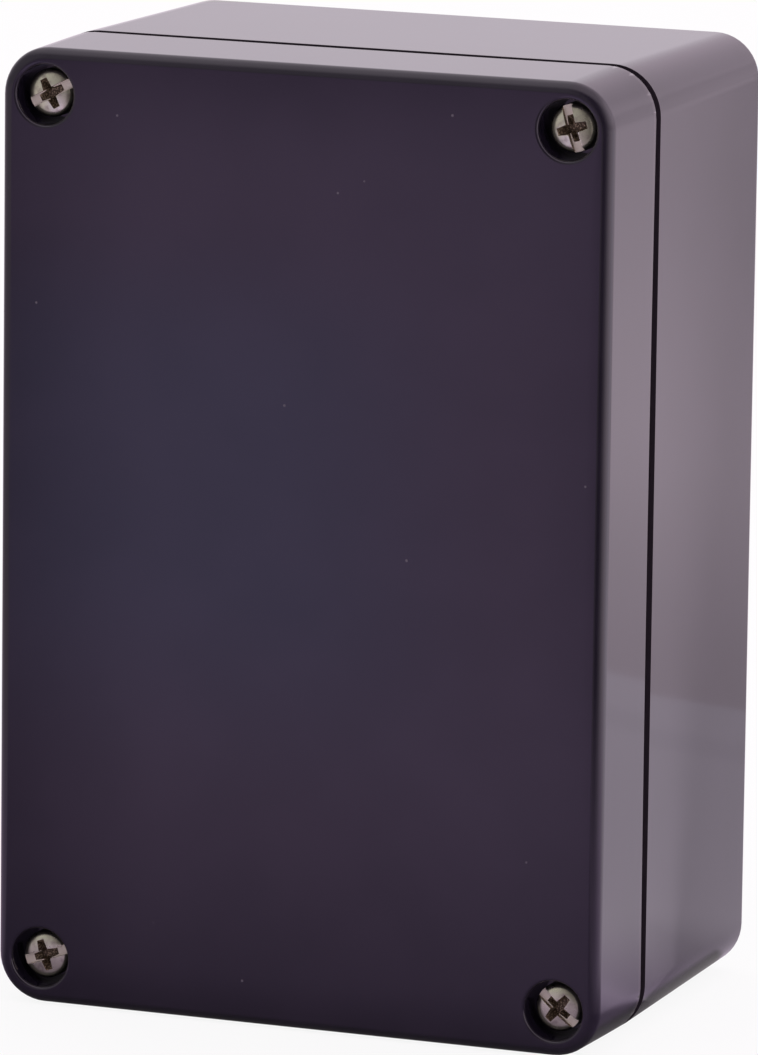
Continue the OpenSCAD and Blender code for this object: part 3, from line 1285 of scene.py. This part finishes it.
@dataclass
class Insert(CornerPart):
    """One threaded brass insert with two knurled bands."""

    kind: ClassVar[str] = "insert"
    body: str = "base"
    slot: str = "insert_brass"
    bore: float = 1.78 * MM
    mouth: float = 0.25 * MM
    chamfer: float = 0.15 * MM
    lead: float = 0.35 * MM
    groove: float = 1.2 * MM
    groove_depth: float = 0.3 * MM
    rib: float = 0.16 * MM
    ribs: int = 36
    rib_lean: float = math.radians(24)
    rib_trim: float = 0.35 * MM
    thread_half: float = 0.2 * MM
    thread_inset: float = 0.45 * MM
    pitch: float = 0.5 * MM
    steps: int = 64
    sharp: float = 30.0

    def sleeve(self) -> bpy.types.Object:
        """The plain sleeve with its groove, from its back end up to z = 0.

        Returns:
            The sleeve as a plain mesh object.
        """
        end = -self.length
        root = self.radius - self.rib
        waist = self.radius - self.groove_depth
        band = (self.length - self.groove) / 2
        profile = [
            (self.bore, end),
            (self.radius - self.lead, end),
            (root, end + self.lead),
            (root, end + band),
            (waist, end + band),
            (waist, -band),
            (root, -band),
            (root, -self.chamfer),
            (root - self.chamfer, 0.0),
            (self.bore + self.mouth, 0.0),
            (self.bore, -self.mouth),
        ]
        return new_object(f"{self.node}_sleeve", lathe(profile, self.steps))

    def build(self) -> bpy.types.Object:
        """Makes the insert in its place.

        Returns:
            The insert as one plain mesh object.
        """
        end = -self.length
        root = self.radius - self.rib
        band = (self.length - self.groove) / 2
        pieces = [self.sleeve()]
        for name, bottom, height, lean in (
            ("lower", end + self.lead, band - self.rib_trim - self.lead, self.rib_lean),
            ("upper", -band + self.rib_trim / 2, band - self.rib_trim, -self.rib_lean),
        ):
            label = f"{self.node}_{name}"
            pieces.append(knurl_band(label, root, bottom, height, lean, self.ribs, self.material))
        run = self.length - 2 * self.thread_inset
        thread = helix_ridge(
            f"{self.node}_thread", self.bore, self.thread_half, self.pitch, run, self.material
        )
        thread.data.transform(Matrix.Translation((0, 0, end + self.thread_inset)))
        return self.laid(join(f"{self.node}_detailed", [*pieces, thread]))


@dataclass
class Retainer(CornerPart):
    """One soft ring that keeps a screw in the lid."""

    kind: ClassVar[str] = "retainer"
    body: str = "lid"
    slot: str = "retainer_nylon"
    bore: float = 1.52 * MM
    fillet: float = 0.3 * MM
    fillet_steps: int = 4
    steps: int = 64
    sharp: float = 40.0

    def build(self) -> bpy.types.Object:
        """Makes the ring in its place.

        Returns:
            The ring as a plain mesh object.
        """
        middle, wide = (self.radius + self.bore) / 2, (self.radius - self.bore) / 2
        half = self.length / 2
        profile = []
        for side, end, start in ((1, -1, -90), (1, 1, 0), (-1, 1, 90), (-1, -1, 180)):
            across = middle + side * (wide - self.fillet)
            along = -half + end * (half - self.fillet)
            for step in range(self.fillet_steps + 1):
                angle = math.radians(start + 90 * step / self.fillet_steps)
                rise = self.fillet * math.sin(angle)
                profile.append((across + self.fillet * math.cos(angle), along + rise))
        return self.laid(new_object(f"{self.node}_ring", lathe(profile, self.steps)))


# ------------------------------------------------------------------ the set


@dataclass
class MirroredFloor:
    """How the floor looks to mirror rays: a strip in front, a fold across it behind, and the object's shadow.

    Places are sockets in metres, and levels are shares of plain white. The lid's face mirrors the strip, and
    the sides mirror the fold. Most pairs hold the places where a change starts and ends.
    """

    g: Graph
    x: Socket
    y: Socket
    far: Socket
    behind_run: Pair = (-0.05, 0.05)
    near_mix: Pair = (0.45, 0.5)  # plain level, and share of the surround's
    near_run: Pair = (0.12, 0.3)
    near_tint: float = 0.7
    strip: Pair = (0.24, 0.83)  # level next to the object, and further out
    strip_rise: Pair = (-0.06, 0.2)
    strip_fade: Pair = (0.7, 0.9)
    strip_loss: float = 0.45
    strip_middle: Pair = (0.019, 0.405)  # width place at the object's middle, and its lean
    strip_half: Pair = (0.035, 0.035)  # half width there, and how fast it grows
    strip_edge: float = 0.45
    strip_edge_run: Pair = (0.6, 1.4)
    strip_end: Pair = (1.3, 2.1)
    patch_near: Pair = (0.13, 0.3)
    patch_far: Pair = (0.45, 0.65)
    patch_left: Pair = (-1.7, -1.1)
    patch_right: Pair = (-0.3, 0.7)
    fold: float = 0.1514
    fold_half: float = 0.001
    fold_lean: float = 0.335
    back_share: float = 0.5
    hither: float = 0.87
    hem: Pair = (0.126, 0.008)  # middle and half width of the darker hem before the fold
    hem_dip: float = 0.04
    hem_core: float = 0.4
    beyond: float = 0.76
    beyond_steps: Steps = ((0.24, fold, 2.2 * fold), (-0.12, 0.34, 0.62), (-0.08, 0.8, 2.2))
    under_run: Pair = (-0.001, 0.003)
    contact: float = 0.35
    contact_steps: Steps = ((0.27, 0.0, 0.003), (0.38, -0.004, 0.03))
    back_light: Tint = (1.0, 0.84, 0.97)
    front_light: Tint = (1.0, 0.73, 1.18)
    patch_light: Tint = (0.96, 0.84, 1.4)
    side_light: Tint = (1.0, 0.87, 1.02)
    under_light: Tint = (1.0, 0.92, 0.96)

    def behind(self) -> Socket:
        """0 in front of the object, 1 behind it."""
        return self.y.smooth(*self.behind_run)

    def near(self) -> Socket:
        """1 next to the object, 0 well away from it."""
        return 1 - (self.x * self.x + self.y * self.y).root().smooth(*self.near_run)

    def clear(self) -> Socket:
        """Distance from the object's footprint, negative under the object."""
        return (self.x.size() - cad_high.x).largest(self.y.size() - cad_high.y)

    def past(self) -> Socket:
        """How far back a place lies, along the lean of the fold."""
        return self.y - self.x * self.fold_lean

    def past_fold(self) -> Socket:
        """0 on this side of the fold, 1 beyond it."""
        return self.past().smooth(self.fold - self.fold_half, self.fold + self.fold_half)

    def offset(self) -> Socket:
        """How far a place is from the strip's middle.

        Returns:
            The offset in half widths of the strip, positive to the right.
        """
        start, lean = self.strip_middle
        half, spread = self.strip_half
        return (self.x - start - self.y * lean) / (half - self.y * spread)

    def evened(self, share: float) -> Socket:
        """Level of the surround as the floor shows it, evened out near the object.

        Args:
            share: How far it is evened out, from 0 to 1.

        Returns:
            The level.
        """
        base, slope = self.near_mix
        near = base + self.far * slope
        return self.far + (near - self.far) * self.near() * share

    def stepped(self, value: Any, over: Socket, steps: Steps) -> Any:
        """Adds smooth steps to a level.

        Args:
            value: The level before the first step.
            over: The distance that the steps run over.
            steps: For each step its change, its start and its end.

        Returns:
            The level.
        """
        for change, start, end in steps:
            value = value + change * over.smooth(start, end)
        return value

    def front(self) -> Socket:
        """Level of the floor in front, with the strip.

        Returns:
            The level.
        """
        out = self.y * -1
        off = self.offset().size()
        low, high = self.strip
        strip = low + (high - low) * out.smooth(*self.strip_rise)
        strip = strip - self.strip_loss * high * out.smooth(*self.strip_fade)
        strip = strip * (1 - self.strip_edge * off.smooth(*self.strip_edge_run))
        plain = self.evened(1.0)
        return plain + (strip - plain) * (1 - off.smooth(*self.strip_end))

    def back(self) -> Socket:
        """Level of the floor behind, with the fold and the darker hem before it.

        Returns:
            The level.
        """
        past = self.past()
        middle, half = self.hem
        hem = 1 - (past - middle).size().smooth(self.hem_core * half, half)
        hither = self.hither - self.hem_dip * hem
        beyond = self.stepped(self.beyond, past, self.beyond_steps)
        return self.evened(self.back_share) * (hither + (beyond - hither) * self.past_fold())

    def level(self) -> Socket:
        """Level of the whole floor, dimmed by the object's own shadow next to it.

        Returns:
            The level.
        """
        front = self.front()
        whole = front + (self.back() - front) * self.behind()
        return whole * self.stepped(self.contact, self.clear(), self.contact_steps)

    def tint(self) -> Socket:
        """Tint of the floor: bluer near the object and in the strip, most in a patch at its left.

        Returns:
            The tint.
        """
        out = self.y * -1
        off = self.offset()
        strip = (1 - off.size().smooth(*self.strip_end)).largest(self.near() * self.near_tint)
        patch = out.smooth(*self.patch_near) * (1 - out.smooth(*self.patch_far))
        patch = patch * off.smooth(*self.patch_left) * (1 - off.smooth(*self.patch_right))
        tint = self.back_light
        for weight, light in (
            ((1 - self.past_fold()) * self.behind(), self.side_light),
            (strip * (1 - self.behind()), self.front_light),
            (patch, self.patch_light),
            (1 - self.clear().smooth(*self.under_run), self.under_light),
        ):
            tint = self.g.mix(weight, tint, light)
        return tint


@dataclass
class Studio:
    """A bright surround that is dark towards the front, a pale floor and the camera."""

    camera_place: Triple = (412.9 * MM, -1053.3 * MM, 270.3 * MM)
    forward: Triple = (-0.3589, 0.9150, -0.1841)
    up: Triple = (-0.0792, 0.1667, 0.9828)
    lens: float = 315.6
    sensor: float = 36.0
    reach: float = 20.0
    floor_half: float = 3.0
    floor_tone: float = 0.86
    floor_shown: float = 0.9
    ring_left: Ring = ((-180, 0.2), (-160, 0.5), (-145, 0.66), (-90, 0.58))
    ring_right: Ring = ((120, 1.33), (140, 0.52), (160, 0.12))
    floor_ring: Ring = (
        (-30, 1.04), (-20, 1.13), (-10, 1.13), (8, 1.14), (14, 1.0), (16.9, 0.95), (18.2, 1.26), (19, 1.32),
        (23, 1.5), (30, 1.55), (43, 1.85), (60, 2.6), (80, 2.54), (100, 1.98),
    )
    sky_ring: Ring = (
        (-30, 1.09), (-20, 1.14), (-10, 1.15), (-3, 1.2), (16, 1.22), (19, 1.34), (22.5, 1.5), (30, 1.55),
        (43, 1.9), (60, 2.62), (80, 2.62), (100, 2.07),
    )
    ring_scale: float = 2.5
    sky_share: float = 0.86
    low_sky: Pair = (0.93, 0.14)  # share at the horizon, and what is added above it
    low_sky_run: Pair = (0.1, 0.17)
    overhead: float = 1.3
    overhead_run: Pair = (0.55, 0.9)
    left_run: Pair = (-0.34, -0.08)
    left_light: Tint = (1.0, 0.9, 1.0)
    back_light: Tint = MirroredFloor.back_light

    def camera(self) -> None:
        """Makes the scene's camera."""
        data = bpy.data.cameras.new("camera")
        data.sensor_width = self.sensor
        data.lens = self.lens
        data.clip_end = self.reach
        obj = bpy.data.objects.new("camera", data)
        forward = Vector(self.forward).normalized()
        side = forward.cross(Vector(self.up)).normalized()
        top = side.cross(forward)
        obj.matrix_world = Matrix((
            (side.x, top.x, -forward.x, self.camera_place[0]),
            (side.y, top.y, -forward.y, self.camera_place[1]),
            (side.z, top.z, -forward.z, self.camera_place[2]),
            (0, 0, 0, 1),
        ))
        bpy.context.scene.collection.objects.link(obj)
        bpy.context.scene.camera = obj

    def around(self, g: Graph, ring: Ring, x: Socket, y: Socket) -> Socket:
        """How bright the surround is in the direction of a bearing from the depth towards the width.

        Args:
            g: The material's or world's graph.
            ring: Bearings in degrees between the left's and the right's, each with its level.
            x: Width part of the direction.
            y: Depth part of the direction.

        Returns:
            The level.
        """
        bearing = g.add(g.math_type, {"operation": "ARCTAN2"}, [x, y])
        stops = [
            (degrees / 360 + 0.5, colour(*[level / self.ring_scale] * 3))
            for degrees, level in (*self.ring_left, *ring, *self.ring_right)
        ]
        share = bearing / (2 * math.pi) + 0.5
        return g.add("ShaderNodeValToRGB", {"stops": stops}, {"Fac": share}) * self.ring_scale

    def floor(self) -> None:
        """Makes the plain floor, which shows as near-white but keeps the object's shadow."""
        bm = bmesh.new()
        half = self.floor_half
        corners = ((-half, -half), (half, -half), (half, half), (-half, half))
        bm.faces.new([bm.verts.new((x, y, cad_low.z)) for x, y in corners])
        obj = new_object("floor", bm)
        material, g = node_material("floor")
        place = g.place()
        x = g.along(place, "X")
        y = g.along(place, "Y")
        mirrored = MirroredFloor(g, x, y, self.around(g, self.floor_ring, x - cad_high.x, y))
        tone = self.floor_tone
        plain = g.add("ShaderNodeBsdfDiffuse", {}, {"Color": colour(tone, tone, tone)})
        white = g.add("ShaderNodeEmission", {}, {"Color": colour(1, 1, 1), "Strength": 1.0})
        gloss = g.add("ShaderNodeEmission", {}, {"Color": mirrored.tint(), "Strength": mirrored.level()})
        shown = g.add("ShaderNodeMixShader", {}, [g.ray("Is Camera Ray") * self.floor_shown, plain, white])
        mixed = g.add("ShaderNodeMixShader", {}, [g.ray("Is Glossy Ray"), shown, gloss])
        g.add("ShaderNodeOutputMaterial", {}, {"Surface": mixed})
        obj.data.materials.append(material)

    def surround(self) -> None:
        """Lights the scene softly from all round but the front, behind a white background."""
        world = bpy.data.worlds.new("surround")
        world.use_nodes = True
        bpy.context.scene.world = world
        g = Graph(world.node_tree)
        direction = g.add("ShaderNodeTexCoord", {}, {}, "Generated")
        x, y, z = (g.along(direction, axis) for axis in "XYZ")
        share, rise = self.low_sky
        lift = share + rise * z.smooth(*self.low_sky_run)
        low = self.around(g, self.sky_ring, x, y) * lift * self.sky_share
        level = low + (self.overhead - low) * z.smooth(*self.overhead_run)
        tint = g.mix(x.smooth(*self.left_run), self.left_light, self.back_light)
        soft = g.add("ShaderNodeBackground", {}, {"Color": tint, "Strength": level})
        white = g.add("ShaderNodeBackground", {}, {"Color": colour(1, 1, 1), "Strength": 1.0})
        shown = g.add("ShaderNodeMixShader", {}, [g.ray("Is Camera Ray"), soft, white])
        g.add("ShaderNodeOutputWorld", {}, {"Surface": shown})

    def build(self) -> None:
        """Makes the whole set."""
        self.camera()
        self.floor()
        self.surround()
        bpy.context.scene.view_settings.view_transform = "Standard"


def main() -> None:
    """Makes the set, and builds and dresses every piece."""
    Studio().build()
    plastic = CasePlastic().material()
    steel = BrightSteel().material()
    brass = TurnedBrass().material()
    nylon = NaturalNylon().material()
    parts = [
        Moulding(plastic, "base", "base", rise=0.2 * MM),
        Moulding(plastic, "lid", "lid", rebate=(1.0 * MM, 1.0 * MM)),
        Seal(FoamRubber().material()),
    ]
    for corner in Corner:
        parts += [LidScrew(steel, corner), Insert(brass, corner), Retainer(nylon, corner)]
    for part in parts:
        piece = part.build()
        part.dress(piece)
        log.info("%s: %d faces", piece.name, len(piece.data.polygons))


if __name__ == "__main__":
    logging.basicConfig(level=logging.INFO, format="%(name)s: %(message)s")
    main()
